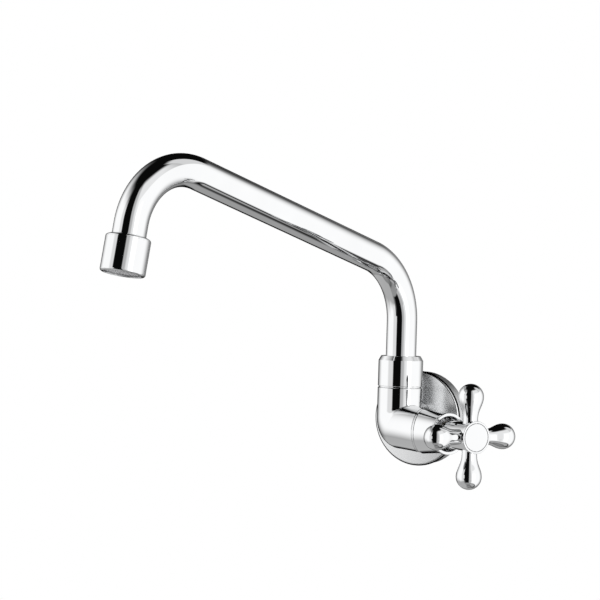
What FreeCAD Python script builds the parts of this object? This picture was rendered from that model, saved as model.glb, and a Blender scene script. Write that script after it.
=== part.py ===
import FreeCAD, Part
import math
import os

from FreeCAD import Placement, Rotation, Vector

# Wall tap with a cross handle at its side and a swan spout that swivels.
# Millimetres. The wall is the plane y = 0 and the tap stands out of it towards -Y.
# The inlet's axis is the line x = 0, z = 0. +Z is up, +X is to the user's right.
# Lengths named _Z are heights above the inlet's axis. Lengths named _AT are
# distances along the handle's axis from the post's axis.

# Where the three axes lie
POST_OUT = 33.0  # post axis from the wall
HANDLE_DROP = 4.6  # handle axis below the inlet axis
HANDLE_ANGLE = 61.0  # handle axis from straight out of the wall, towards +X
SPOUT_ANGLE = -13.0  # spout as photographed, from straight out of the wall

# Clearances
RUNNING = 0.06  # radial, between pieces that turn in one another
SLIDE = 0.08  # between flat faces that turn on one another
THREAD = 0.04  # radial, between screwed or pushed pieces
LAPPED = 0.02  # between the two ceramic discs

# Inlet and wall flange
NIPPLE_R = 10.48  # half-inch pipe thread
NIPPLE_REACH = 14.0  # thread behind the wall plane
NIPPLE_BORE_R = 6.0
NIPPLE_TAIL_R = 8.3  # three-eighths thread into the body
NIPPLE_TAIL = 9.5
BOSS_R = 10.9
BOSS_END = 5.0  # boss face from the wall
WASHER_THICK = 1.0
FLANGE_R = 28.0
FLANGE_DEPTH = 11.5
FLANGE_CROWN = 0.8  # the face's middle stands out of its edge by this
FLANGE_WALL = 1.0
FLANGE_EDGE = 0.8
FLANGE_LIP = 3.0
GRIP_RING_SECTION = 1.6

# Body casting
POST_R = 13.3
BEND_R = 5.0
LEG_UNDER = 11.8  # leg's underside below the handle axis
LEG_END_R = 11.95
LEG_LENGTH = 33.5
JOINT_Z = 19.3  # face where the swivel collar meets the body
JOINT_BEVEL = 0.6
NECK_R = 12.0
NECK_TOP_Z = 30.0
NECK_BORE_R = 10.0
NECK_FLOOR_Z = 9.0
OUTLET_CHAMBER_R = 5.2
INLET_PASSAGE_R = 5.5
INLET_PASSAGE_END = 7.6  # from the post axis
CROSS_PASSAGE_R = 2.6
CROSS_PASSAGE_OUT = 9.0  # its axis from the post axis
CROSS_PASSAGE_ANGLE = 45.0  # its nearest point to the post axis, from the inlet towards +X
SEAM_X = 22.6  # plane, square to the wall, where the sleeve meets the body
SEAM_GROOVE = 1.2
SEAM_GROOVE_DEEP = 0.45
SPIGOT_R = 11.2
SPIGOT_AT = 34.0

# Cartridge
SEAT_AT = 8.7
SEAT_PORT_R = 4.0
CHAMBER_R = 9.2
CHAMBER_END_AT = 21.0
CARTRIDGE_THREAD_R = 8.3
CARTRIDGE_THREAD_AT = 24.0
CARTRIDGE_R = 7.3
CARTRIDGE_BORE_R = 6.2
CARTRIDGE_BORE_END_AT = 30.0
GASKET_THICK = 1.0
CARTRIDGE_FLANGE_R = 10.3
CARTRIDGE_FLANGE = 2.0
HEX_FLATS = 17.0
HEX_LONG = 7.0
NOSE_R = 6.0
NOSE_END_AT = 49.0
WINDOW_WIDE = 6.0
WINDOW_AT = 16.0
WINDOW_LONG = 5.0
SEAL_THICK = 2.2
SEAL_LIP = 0.6
DISC_THICK = 2.5
DISC_PORT_R = 4.9
DISC_WEB = 2.4

# Spindle
SPINDLE_R = 4.0
DRIVER_LONG = 5.0
RING_GROOVE_DEEP = 1.1
RING_GROOVE_WIDE = 1.9
RING_GROOVES_AT = (33.0, 38.0)
CLIP_THICK = 0.9
CLIP_DEEP = 0.7
CLIP_R = 5.5
SQUARE = 5.6
SQUARE_AT = 58.0
SPINDLE_END_AT = 69.6

# Bonnet sleeve
SLEEVE_SEAM_R = 12.75
SLEEVE_WAIST_R = 11.0
SLEEVE_WAIST_AT = 49.8
SLEEVE_END_AT = 52.4
SLEEVE_END_R = 12.0
SLEEVE_MOUTH_R = 9.3
SLEEVE_LIP = 1.2
SLEEVE_DISH = 1.6
SLEEVE_WALL = 1.5

# Cross handle
HUB_REAR_AT = 51.2
HUB_REAR_R = 7.9
HUB_R = 8.5
HUB_FACE_AT = 79.6
HUB_FACE_R = 9.2
HUB_FACE_THICK = 2.0
HUB_BEVEL = 1.0
HUB_SKIRT_R = 6.7
HUB_SKIRT_END_AT = 57.0
HUB_WEB_AT = 69.9
HUB_WEB = 1.6
CAP_R = 7.9
CAP_THICK = 1.8
ARM_AT = 73.0
ARM_COUNT = 4
ARM_TIP = 29.9
ARM_BULB_R = 7.3
ARM_BULB_PULL = 4.7  # the flank leaves the bulb and the neck along their own lines,
ARM_NECK_PULL = 6.0  # and these two lengths say for how far
ARM_NECK_R = 4.3
ARM_NECK_END = 9.8
ARM_SEAT = 7.4  # arm's shoulder from the handle axis
ARM_SPIGOT_R = 2.4
ARM_SPIGOT = 2.0
SCREW_R = 2.0
SCREW_LONG = 9.0
SCREW_HEAD_R = 3.6
SCREW_HEAD = 2.6
SCREW_SOCKET = 1.5  # hexagon key, half across flats

# Swivel collar
COLLAR_R = 13.25
COLLAR_CHAMFER_Z = 35.3
COLLAR_TOP_Z = 38.0
COLLAR_TOP_R = 11.7
COLLAR_SHOULDER_Z = 34.2

# Spout
TUBE_R = 9.0
TUBE_WALL = 1.2
TUBE_FOOT_Z = 29.0
POST_TOP_Z = 58.6
BEND_1_R = 39.3
BEND_1_ANGLE = 74.4
RUN = 146.7
BEND_2_R = 37.1
OUTLET_ANGLE = 11.0  # outlet from straight down, outwards
OUTLET_STRAIGHT = 6.4
FERRULE_FOOT_Z = 12.0
FERRULE_BORE_R = 6.6
FERRULE_FLANGE_R = 11.2
GLIDE_THICK = 1.0
O_RING_GROOVES_Z = (16.0, 22.0)
O_RING_WIDE = 2.2
O_RING_DEEP = 1.5

# Outlet and aerator, lengths from the tube's last straight
AERATOR_R = 11.95
AERATOR_LONG = 20.2
AERATOR_EDGE = 1.3
AERATOR_WALL = 0.95
MOUTH_R = 10.1
MOUTH_LIP = 1.1
OUTLET_SHOULDER = 2.0
OUTLET_TOP_R = 9.5
OUTLET_THREAD = 8.0
TUBE_IN_OUTLET = 7.5
AERATOR_GASKET = 1.5
MESH_THICK = 0.3
CAGE_WALL = 1.0
CAGE_TOP = 1.4
CAGE_HOLE_R = 1.0
CAGE_HOLE_RINGS = ((3.2, 4), (6.8, 8))  # distance from the middle, count

ORIGIN = Vector(0, 0, 0)
UP = Vector(0, 0, 1)
TINY = 1e-6


def cos(degrees):
    return math.cos(math.radians(degrees))


def sin(degrees):
    return math.sin(math.radians(degrees))


def spot(entry):
    return Vector(entry[0], 0, entry[1])


def outline(entries):
    """Closed wire of (radius, height) points. A pair of points is an arc, through one to the other."""
    edges = []
    start = spot(entries[0])
    here = start
    for entry in list(entries[1:]) + [entries[0]]:
        if isinstance(entry[0], tuple):
            there = spot(entry[1])
            edges.append(Part.Arc(here, spot(entry[0]), there).toShape())
        else:
            there = spot(entry)
            if here.distanceToPoint(there) > TINY:
                edges.append(Part.makeLine(here, there))
        here = there
    return Part.Wire(edges)


def turned(entries):
    return Part.Face(outline(entries)).revolve(ORIGIN, UP, 360)


def rod(radius, low, high):
    return Part.makeCylinder(radius, high - low, Vector(0, 0, low))


def ring(outer, inner, low, high):
    return rod(outer, low, high).cut(rod(inner, low - 1, high + 1))


def block(wide, deep, low, high):
    """Box centred on the Z axis, wide along X and deep along Y."""
    return Part.makeBox(wide, deep, high - low, Vector(-wide / 2, -deep / 2, low))


def hexagon(flats, low, high):
    corner = flats / 2 / cos(30)
    points = [Vector(corner * cos(60 * k), corner * sin(60 * k), low) for k in range(7)]
    return Part.Face(Part.makePolygon(points)).extrude(Vector(0, 0, high - low))


def corner_arc(radius, inner, low, high):
    """Middle and end of a quarter-round from (inner, low) out to (radius, high)."""
    width = radius - inner
    height = high - low
    return (inner + width * sin(45), high - height * cos(45)), (radius, high)


def placed(shape, place):
    moved = shape.copy()
    moved.Placement = place.multiply(moved.Placement)
    return moved


def joined(shapes):
    return shapes[0].multiFuse(shapes[1:]).removeSplitter()


# Frames of the three axes. Along the handle's axis, local X is up and local Z points out of the
# handle's face. Along the inlet's axis, local Z points into the wall.
ALONG_HANDLE = Vector(sin(HANDLE_ANGLE), -cos(HANDLE_ANGLE), 0)
ACROSS_HANDLE = ALONG_HANDLE.cross(UP)
HANDLE = Placement(
    Vector(0, -POST_OUT, -HANDLE_DROP), Rotation(UP, ACROSS_HANDLE, ALONG_HANDLE, "ZXY")
)
INLET = Placement(ORIGIN, Rotation(Vector(1, 0, 0), -90))
POST = Placement(Vector(0, -POST_OUT, 0), Rotation())
ALONG_SPOUT = Vector(sin(SPOUT_ANGLE), -cos(SPOUT_ANGLE), 0)
SPOUT = Placement(Vector(0, -POST_OUT, 0), Rotation(ALONG_SPOUT, UP.cross(ALONG_SPOUT), UP, "ZXY"))


# Inlet and wall flange

NIPPLE_SHOULDER = BOSS_END - WASHER_THICK


def inlet_nipple():
    lead = 0.8
    body = turned([
        (NIPPLE_BORE_R, -NIPPLE_SHOULDER - NIPPLE_TAIL),
        (NIPPLE_TAIL_R - lead, -NIPPLE_SHOULDER - NIPPLE_TAIL),
        (NIPPLE_TAIL_R, -NIPPLE_SHOULDER - NIPPLE_TAIL + lead),
        (NIPPLE_TAIL_R, -NIPPLE_SHOULDER),
        (NIPPLE_R, -NIPPLE_SHOULDER),
        (NIPPLE_R, NIPPLE_REACH - lead),
        (NIPPLE_R - lead, NIPPLE_REACH),
        (NIPPLE_BORE_R, NIPPLE_REACH),
    ])
    return placed(body, INLET)


def nipple_washer():
    return placed(ring(NIPPLE_R - 0.2, NIPPLE_TAIL_R + THREAD, -BOSS_END, -NIPPLE_SHOULDER), INLET)


GRIP_GROOVE_R = BOSS_R + GRIP_RING_SECTION - 0.2
LIP_R = GRIP_GROOVE_R + FLANGE_WALL
GRIP_LOW = -FLANGE_DEPTH + FLANGE_WALL
GRIP_HIGH = GRIP_LOW + GRIP_RING_SECTION


def wall_flange():
    face = -FLANGE_DEPTH
    inside = FLANGE_R - FLANGE_WALL
    back = face + FLANGE_WALL
    turn = FLANGE_EDGE * (1 - cos(45))
    face_end = face + FLANGE_CROWN
    middle = ((BOSS_R + FLANGE_R - FLANGE_EDGE) / 2, face + FLANGE_CROWN / 4)
    shell = turned([
        (BOSS_R + THREAD, face),
        (middle, (FLANGE_R - FLANGE_EDGE, face_end)),
        ((FLANGE_R - turn, face_end + turn), (FLANGE_R, face_end + FLANGE_EDGE)),
        (FLANGE_R, 0),
        (inside, 0),
        (inside, back + FLANGE_CROWN),
        (LIP_R, back),
        (LIP_R, back + FLANGE_LIP),
        (GRIP_GROOVE_R, back + FLANGE_LIP),
        (GRIP_GROOVE_R, back),
        (BOSS_R + THREAD, back),
    ])
    return placed(shell, INLET)


def flange_grip_ring():
    """Rubber ring that grips the boss, drawn with flat sides."""
    bevel = GRIP_RING_SECTION * 0.3
    body = turned([
        (BOSS_R + THREAD, GRIP_LOW + bevel),
        (BOSS_R + THREAD + bevel, GRIP_LOW),
        (GRIP_GROOVE_R - bevel, GRIP_LOW),
        (GRIP_GROOVE_R, GRIP_LOW + bevel),
        (GRIP_GROOVE_R, GRIP_HIGH - bevel),
        (GRIP_GROOVE_R - bevel, GRIP_HIGH),
        (BOSS_R + THREAD + bevel, GRIP_HIGH),
        (BOSS_R + THREAD, GRIP_HIGH - bevel),
    ])
    return placed(body, INLET)


# Body casting: a tight elbow from the upright post into the handle's leg, cored for the water

LEG_RISE = POST_R - LEG_UNDER  # the elbow's circle stands above the handle axis by this
BEND_AXIS_UP = LEG_RISE + BEND_R


def elbow_corner():
    """Quarter turn of the post's circle about the bend's axis, in the handle's frame."""
    half = math.sqrt(POST_R**2 - BEND_R**2)
    left = Vector(BEND_AXIS_UP, -half, BEND_R)
    right = Vector(BEND_AXIS_UP, half, BEND_R)
    under = Part.Arc(left, Vector(BEND_AXIS_UP, 0, -POST_R), right).toShape()
    face = Part.Face(Part.Wire([under, Part.makeLine(right, left)]))
    return face.revolve(Vector(BEND_AXIS_UP, 0, BEND_R), Vector(0, 1, 0), 90)


def leg():
    """Slightly tapered leg whose underside is level and whose top falls towards the handle."""
    near = Part.Wire(Part.makeCircle(POST_R, Vector(LEG_RISE, 0, BEND_R)))
    far = Part.Wire(Part.makeCircle(LEG_END_R, Vector(LEG_END_R - LEG_UNDER, 0, LEG_LENGTH)))
    return Part.makeLoft([near, far], True, True)


def beyond_seam(offset=0.0):
    """Everything on the handle's side of the seam plane."""
    reach = 100.0  # past everything that is cut
    corner = Vector(SEAM_X + offset, -POST_OUT - reach, -HANDLE_DROP - reach)
    return Part.makeBox(reach, 2 * reach, 2 * reach, corner)


def seam_groove():
    shell = placed(rod(POST_R + 5, 0, LEG_LENGTH + 5).cut(
        rod(LEG_END_R - SEAM_GROOVE_DEEP, -1, LEG_LENGTH + 6)), HANDLE)
    return shell.common(beyond_seam(-SEAM_GROOVE))


def body_outside():
    upright = rod(POST_R, BEND_AXIS_UP - HANDLE_DROP, JOINT_Z - JOINT_BEVEL)
    bevel = Part.makeCone(POST_R, POST_R - JOINT_BEVEL, JOINT_BEVEL, Vector(0, 0, JOINT_Z - JOINT_BEVEL))
    neck = rod(NECK_R, JOINT_Z, NECK_TOP_Z)
    elbow = joined([placed(elbow_corner(), HANDLE), placed(leg(), HANDLE), placed(upright, POST)])
    elbow = elbow.cut(beyond_seam()).cut(seam_groove())
    boss = placed(rod(BOSS_R, -POST_OUT, -BOSS_END), INLET)
    spigot = placed(rod(SPIGOT_R, BEND_R, SPIGOT_AT), HANDLE)
    return joined([elbow, placed(bevel, POST), placed(neck, POST), boss, spigot])


def cross_passage():
    """Short level passage that takes the water past the outlet chamber to the cartridge's chamber."""
    nearest = Vector(sin(CROSS_PASSAGE_ANGLE), cos(CROSS_PASSAGE_ANGLE), 0) * CROSS_PASSAGE_OUT
    along = Vector(cos(CROSS_PASSAGE_ANGLE), -sin(CROSS_PASSAGE_ANGLE), 0)
    start = nearest - along * INLET_PASSAGE_R + Vector(0, -POST_OUT, -HANDLE_DROP / 2)
    return Part.makeCylinder(CROSS_PASSAGE_R, INLET_PASSAGE_R + SEAT_AT, start, along)


def waterways():
    """Inlet from the wall, cross passage to the cartridge's chamber, seat port and outlet chamber."""
    tail_room = NIPPLE_SHOULDER + NIPPLE_TAIL + 0.5
    socket = rod(NIPPLE_TAIL_R + THREAD, -tail_room, -BOSS_END + 1)
    passage = rod(INLET_PASSAGE_R, INLET_PASSAGE_END - POST_OUT, -tail_room + 1)
    port = rod(SEAT_PORT_R, 0, SEAT_AT + 1)
    chamber = rod(CHAMBER_R, SEAT_AT, CHAMBER_END_AT)
    thread = rod(CARTRIDGE_THREAD_R + THREAD, CHAMBER_END_AT - 1, SPIGOT_AT + 1)
    outlet = rod(OUTLET_CHAMBER_R, -HANDLE_DROP - OUTLET_CHAMBER_R, NECK_FLOOR_Z + 1)
    bore = rod(NECK_BORE_R, NECK_FLOOR_Z, NECK_TOP_Z + 1)
    return [
        placed(socket, INLET), placed(passage, INLET), cross_passage(),
        placed(port, HANDLE), placed(chamber, HANDLE), placed(thread, HANDLE),
        placed(outlet, POST), placed(bore, POST),
    ]


def tap_body():
    return body_outside().cut(waterways())


def bonnet_sleeve():
    """Tapered shroud over the cartridge, cut to the seam plane, with a beaded and dished mouth."""
    taper = (SLEEVE_SEAM_R - SLEEVE_WAIST_R) / (SLEEVE_WAIST_AT - SEAM_X / sin(HANDLE_ANGLE))
    start = CHAMBER_END_AT - 8
    start_r = SLEEVE_WAIST_R + taper * (SLEEVE_WAIST_AT - start)
    step_at = SPIGOT_AT + 1.0
    inner_waist_r = SLEEVE_WAIST_R - SLEEVE_WALL
    bead = SLEEVE_END_AT - SLEEVE_WAIST_AT
    edge = 0.5
    turn = edge * (1 - cos(45))
    body = turned([
        (SPIGOT_R + THREAD, start),
        (start_r, start),
        (SLEEVE_WAIST_R, SLEEVE_WAIST_AT),
        ((SLEEVE_WAIST_R + 0.7, SLEEVE_WAIST_AT + bead * 0.14),
         (SLEEVE_END_R, SLEEVE_WAIST_AT + bead * 0.45)),
        (SLEEVE_END_R, SLEEVE_END_AT - edge),
        ((SLEEVE_END_R - turn, SLEEVE_END_AT - turn), (SLEEVE_END_R - edge, SLEEVE_END_AT)),
        (SLEEVE_END_R - edge - SLEEVE_LIP, SLEEVE_END_AT),
        (SLEEVE_MOUTH_R, SLEEVE_END_AT - SLEEVE_DISH),
        (SLEEVE_MOUTH_R, SLEEVE_WAIST_AT - 2),
        (inner_waist_r, SLEEVE_WAIST_AT - 2),
        (CARTRIDGE_FLANGE_R + 0.4, step_at + CARTRIDGE_FLANGE),
        (SPIGOT_R + THREAD, step_at),
    ])
    return placed(body, HANDLE).common(beyond_seam())


# Ceramic-disc cartridge

SEAL_TOP_AT = SEAT_AT + SEAL_THICK
FIXED_TOP_AT = SEAL_TOP_AT + DISC_THICK
MOVING_AT = FIXED_TOP_AT + LAPPED
MOVING_TOP_AT = MOVING_AT + DISC_THICK
CARTRIDGE_FOOT_AT = SEAL_TOP_AT - SEAL_LIP
FLANGE_AT = SPIGOT_AT + GASKET_THICK
HEX_AT = FLANGE_AT + CARTRIDGE_FLANGE
NOSE_AT = HEX_AT + HEX_LONG


def cartridge_body():
    outside = turned([
        (0, CARTRIDGE_FOOT_AT),
        (CARTRIDGE_R, CARTRIDGE_FOOT_AT),
        (CARTRIDGE_R, CARTRIDGE_THREAD_AT),
        (CARTRIDGE_THREAD_R, CARTRIDGE_THREAD_AT),
        (CARTRIDGE_THREAD_R, FLANGE_AT),
        (CARTRIDGE_FLANGE_R, FLANGE_AT),
        (CARTRIDGE_FLANGE_R, HEX_AT),
        (NOSE_R, HEX_AT),
        (NOSE_R, NOSE_END_AT),
        (0, NOSE_END_AT),
    ])
    body = joined([outside, hexagon(HEX_FLATS, HEX_AT, NOSE_AT)])
    window = block(4 * CARTRIDGE_R, WINDOW_WIDE, WINDOW_AT, WINDOW_AT + WINDOW_LONG)
    body = body.cut([
        rod(CARTRIDGE_BORE_R, CARTRIDGE_FOOT_AT - 1, CARTRIDGE_BORE_END_AT),
        rod(SPINDLE_R + RUNNING, CARTRIDGE_BORE_END_AT - 1, NOSE_END_AT + 1),
        window,
    ])
    return placed(body, HANDLE)


def cartridge_gasket():
    return placed(ring(CARTRIDGE_FLANGE_R, CARTRIDGE_THREAD_R + THREAD, SPIGOT_AT, FLANGE_AT), HANDLE)


def seat_seal():
    """Rubber seal pressed up against the fixed disc, with a wider foot on the seat."""
    body = turned([
        (SEAT_PORT_R, SEAT_AT),
        (CARTRIDGE_R - 0.3, SEAT_AT),
        (CARTRIDGE_R - 0.3, CARTRIDGE_FOOT_AT),
        (CARTRIDGE_BORE_R - THREAD, CARTRIDGE_FOOT_AT),
        (CARTRIDGE_BORE_R - THREAD, SEAL_TOP_AT),
        (SEAT_PORT_R, SEAL_TOP_AT),
    ])
    return placed(body, HANDLE)


def disc_ports(low, high, along_x):
    """Two facing quarter windows; along_x puts them on the local X axis."""
    hole = rod(DISC_PORT_R, low, high)
    reach = 3 * DISC_PORT_R
    wedge = Part.Face(Part.makePolygon([
        Vector(DISC_WEB / 2, 0, low), Vector(reach, reach - DISC_WEB, low),
        Vector(reach, DISC_WEB - reach, low), Vector(DISC_WEB / 2, 0, low),
    ])).extrude(Vector(0, 0, high - low))
    pair = wedge.fuse(wedge.rotated(ORIGIN, UP, 180))
    ports = hole.common(pair)
    return ports if along_x else ports.rotated(ORIGIN, UP, 90)


def fixed_disc():
    disc = rod(CARTRIDGE_BORE_R - THREAD, SEAL_TOP_AT, FIXED_TOP_AT)
    return placed(disc.cut(disc_ports(SEAL_TOP_AT - 1, FIXED_TOP_AT + 1, True)), HANDLE)


def moving_disc():
    """Stored shut: its windows stand a quarter turn from the fixed disc's."""
    disc = rod(CARTRIDGE_BORE_R - RUNNING, MOVING_AT, MOVING_TOP_AT)
    return placed(disc.cut(disc_ports(MOVING_AT - 1, MOVING_TOP_AT + 1, False)), HANDLE)


def spindle():
    driver_end = MOVING_TOP_AT + DRIVER_LONG
    driver = rod(CARTRIDGE_BORE_R - RUNNING, MOVING_TOP_AT, driver_end)
    driver = driver.common(block(2 * DISC_WEB + 4, 4 * CARTRIDGE_R, MOVING_TOP_AT, driver_end))
    shaft = rod(SPINDLE_R, driver_end - 1, SQUARE_AT)
    square = block(SQUARE, SQUARE, SQUARE_AT - 1, SPINDLE_END_AT)
    body = joined([driver, shaft, square])
    groove_r = SPINDLE_R - RING_GROOVE_DEEP
    cuts = [ring(SPINDLE_R + 1, groove_r, at, at + RING_GROOVE_WIDE) for at in RING_GROOVES_AT]
    clip_at = NOSE_END_AT + SLIDE
    cuts.append(ring(SPINDLE_R + 1, SPINDLE_R - CLIP_DEEP, clip_at, clip_at + CLIP_THICK))
    cuts.append(rod(SCREW_R + THREAD, HUB_WEB_AT + HUB_WEB - SCREW_LONG - 1, SPINDLE_END_AT + 1))
    return placed(body.cut(cuts), HANDLE)


def o_rings(outer, groove, wide, places):
    """Rubber rings that fill their grooves, drawn with flat sides."""
    bevel = (outer - groove) * 0.3
    rings = []
    for low in places:
        foot = low + 0.1
        head = low + wide - 0.1
        rings.append(turned([
            (groove + bevel, foot), (outer - bevel, foot), (outer, foot + bevel),
            (outer, head - bevel), (outer - bevel, head), (groove + bevel, head),
            (groove, head - bevel), (groove, foot + bevel),
        ]))
    return rings


def spindle_o_rings():
    rings = o_rings(SPINDLE_R, SPINDLE_R - RING_GROOVE_DEEP, RING_GROOVE_WIDE, RING_GROOVES_AT)
    return Part.makeCompound([placed(part, HANDLE) for part in rings])


def spindle_clip():
    """Open snap ring that keeps the spindle in the cartridge."""
    low = NOSE_END_AT + SLIDE
    inside = SPINDLE_R - CLIP_DEEP
    body = ring(CLIP_R, inside, low, low + CLIP_THICK)
    mouth = Part.makeBox(2 * CLIP_R, 1.6 * inside, 4, Vector(0, -0.8 * inside, low - 1))
    return placed(body.cut(mouth), HANDLE)


# Cross handle

def arm_places():
    places = []
    for k in range(ARM_COUNT):
        spin = Rotation(UP, 360 / ARM_COUNT * k).multiply(Rotation(Vector(0, 1, 0), 90))
        places.append(Placement(Vector(0, 0, ARM_AT), spin))
    return places


def handle_hub():
    face_low = HUB_FACE_AT - HUB_FACE_THICK
    edge = 0.5
    outside = turned([
        (0, HUB_REAR_AT),
        (HUB_REAR_R - edge, HUB_REAR_AT),
        (HUB_REAR_R, HUB_REAR_AT + edge),
        (HUB_R, face_low - HUB_BEVEL),
        (HUB_FACE_R, face_low),
        (HUB_FACE_R, HUB_FACE_AT - edge),
        ((HUB_FACE_R - edge * 0.3, HUB_FACE_AT - edge * 0.3), (HUB_FACE_R - edge, HUB_FACE_AT)),
        (0, HUB_FACE_AT),
    ])
    cuts = [
        rod(HUB_SKIRT_R, HUB_REAR_AT - 1, HUB_SKIRT_END_AT),
        rod(SPINDLE_R + 0.3, HUB_SKIRT_END_AT - 1, SQUARE_AT + 0.3),
        block(SQUARE + 2 * THREAD, SQUARE + 2 * THREAD, SQUARE_AT - 1, HUB_WEB_AT),
        rod(SCREW_R + 0.2, HUB_WEB_AT - 1, HUB_WEB_AT + HUB_WEB + 1),
        rod(SCREW_HEAD_R + 0.2, HUB_WEB_AT + HUB_WEB, HUB_FACE_AT),
        rod(CAP_R + THREAD, HUB_FACE_AT - CAP_THICK, HUB_FACE_AT + 1),
    ]
    for place in arm_places():
        hole = rod(ARM_NECK_R + THREAD, ARM_SEAT, HUB_FACE_R + 2)
        pilot = rod(ARM_SPIGOT_R + THREAD, ARM_SEAT - ARM_SPIGOT, ARM_SEAT + 1)
        cuts += [placed(hole, place), placed(pilot, place)]
    return placed(outside.cut(cuts), HANDLE)


def handle_arm(place):
    """Teardrop arm: a round bulb that runs down into a slim neck, pushed into the hub."""
    bulb_at = ARM_TIP - ARM_BULB_R
    widest = Vector(ARM_BULB_R, 0, bulb_at)
    neck = Vector(ARM_NECK_R, 0, ARM_NECK_END)
    curve = Part.BezierCurve()
    curve.setPoles([neck, neck + UP * ARM_NECK_PULL, widest - UP * ARM_BULB_PULL, widest])
    tip = Vector(0, 0, ARM_TIP)
    bulb = Part.Arc(widest, Vector(ARM_BULB_R * cos(45), 0, bulb_at + ARM_BULB_R * sin(45)), tip)
    foot = ARM_SEAT - ARM_SPIGOT
    corners = [tip, Vector(0, 0, foot), Vector(ARM_SPIGOT_R, 0, foot), Vector(ARM_SPIGOT_R, 0, ARM_SEAT),
               Vector(ARM_NECK_R, 0, ARM_SEAT), neck]
    sides = [Part.makeLine(a, b) for a, b in zip(corners, corners[1:])]
    wire = Part.Wire([curve.toShape(), bulb.toShape()] + sides)
    body = Part.Face(wire).revolve(ORIGIN, UP, 360)
    return placed(placed(body, place), HANDLE)


def handle_screw():
    head_at = HUB_WEB_AT + HUB_WEB
    body = joined([
        rod(SCREW_R, head_at - SCREW_LONG, head_at),
        rod(SCREW_HEAD_R, head_at, head_at + SCREW_HEAD),
    ])
    return placed(body.cut(hexagon(2 * SCREW_SOCKET, head_at + 1, head_at + SCREW_HEAD + 1)), HANDLE)


def index_cap():
    """Bare cap, flush in the hub's face, over the screw."""
    edge = 0.3
    low = HUB_FACE_AT - CAP_THICK
    body = turned([
        (0, low), (CAP_R, low), (CAP_R, HUB_FACE_AT - edge), (CAP_R - edge, HUB_FACE_AT), (0, HUB_FACE_AT),
    ])
    return placed(body, HANDLE)


# Swivel joint of the spout

FERRULE_FLANGE_Z = NECK_TOP_Z + GLIDE_THICK + SLIDE
UPPER_GLIDE_Z = COLLAR_SHOULDER_Z - GLIDE_THICK
FERRULE_TOP_Z = UPPER_GLIDE_Z - SLIDE


def swivel_collar():
    body = turned([
        (NECK_R + THREAD, JOINT_Z),
        (COLLAR_R - JOINT_BEVEL, JOINT_Z),
        (COLLAR_R, JOINT_Z + JOINT_BEVEL),
        (COLLAR_R, COLLAR_CHAMFER_Z),
        (COLLAR_TOP_R, COLLAR_TOP_Z),
        (TUBE_R + RUNNING, COLLAR_TOP_Z),
        (TUBE_R + RUNNING, COLLAR_SHOULDER_Z),
        (NECK_R + THREAD, COLLAR_SHOULDER_Z),
    ])
    return placed(body, POST)


def lower_glide_ring():
    return placed(ring(NECK_R - 0.2, NECK_BORE_R + 0.2, NECK_TOP_Z, NECK_TOP_Z + GLIDE_THICK), POST)


def upper_glide_ring():
    return placed(ring(NECK_R - 0.2, TUBE_R + 0.3, UPPER_GLIDE_Z, COLLAR_SHOULDER_Z), POST)


def spout_ferrule():
    bush_r = NECK_BORE_R - RUNNING
    body = turned([
        (FERRULE_BORE_R, FERRULE_FOOT_Z),
        (bush_r - 0.6, FERRULE_FOOT_Z),
        (bush_r, FERRULE_FOOT_Z + 0.6),
        (bush_r, FERRULE_FLANGE_Z),
        (FERRULE_FLANGE_R, FERRULE_FLANGE_Z),
        (FERRULE_FLANGE_R, FERRULE_TOP_Z),
        (TUBE_R + THREAD, FERRULE_TOP_Z),
        (TUBE_R + THREAD, TUBE_FOOT_Z),
        (FERRULE_BORE_R, TUBE_FOOT_Z),
    ])
    grooves = [ring(bush_r + 1, bush_r - O_RING_DEEP, low, low + O_RING_WIDE) for low in O_RING_GROOVES_Z]
    return placed(body.cut(grooves), SPOUT)


def ferrule_o_rings():
    bush_r = NECK_BORE_R - RUNNING
    rings = o_rings(bush_r, bush_r - O_RING_DEEP, O_RING_WIDE, O_RING_GROOVES_Z)
    return Part.makeCompound([placed(part, SPOUT) for part in rings])


# Swan spout

def spout_path():
    """Centre line in the spout's frame: post, bend, rising run, bend and outlet."""
    turn_1 = BEND_1_ANGLE
    turn_2 = 180 - OUTLET_ANGLE
    foot = Vector(0, 0, TUBE_FOOT_Z)
    post_top = Vector(0, 0, POST_TOP_Z)
    centre_1 = post_top + Vector(BEND_1_R, 0, 0)

    def on_bend_1(angle):
        return centre_1 + Vector(-BEND_1_R * cos(angle), 0, BEND_1_R * sin(angle))

    run_start = on_bend_1(turn_1)
    run_end = run_start + Vector(RUN * sin(turn_1), 0, RUN * cos(turn_1))
    centre_2 = run_end + Vector(BEND_2_R * cos(turn_1), 0, -BEND_2_R * sin(turn_1))

    def on_bend_2(angle):
        return centre_2 + Vector(-BEND_2_R * cos(angle), 0, BEND_2_R * sin(angle))

    outlet_top = on_bend_2(turn_2)
    down = Vector(sin(turn_2), 0, cos(turn_2))
    outlet = outlet_top + down * OUTLET_STRAIGHT
    end = outlet + down * TUBE_IN_OUTLET
    wire = Part.Wire([
        Part.makeLine(foot, post_top),
        Part.Arc(post_top, on_bend_1(turn_1 / 2), run_start).toShape(),
        Part.makeLine(run_start, run_end),
        Part.Arc(run_end, on_bend_2((turn_1 + turn_2) / 2), outlet_top).toShape(),
        Part.makeLine(outlet_top, end),
    ])
    return wire, outlet, down


SPOUT_WIRE, OUTLET_POINT, OUTLET_DOWN = spout_path()
OUTLET = SPOUT.multiply(Placement(OUTLET_POINT, Rotation(Vector(0, 1, 0), 180 - OUTLET_ANGLE)))


def pipe(radius):
    circle = Part.Wire(Part.makeCircle(radius, Vector(0, 0, TUBE_FOOT_Z)))
    return SPOUT_WIRE.makePipeShell([circle], True, False)


def spout_tube():
    return placed(pipe(TUBE_R).cut(pipe(TUBE_R - TUBE_WALL)), SPOUT)


# Outlet and aerator

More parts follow.
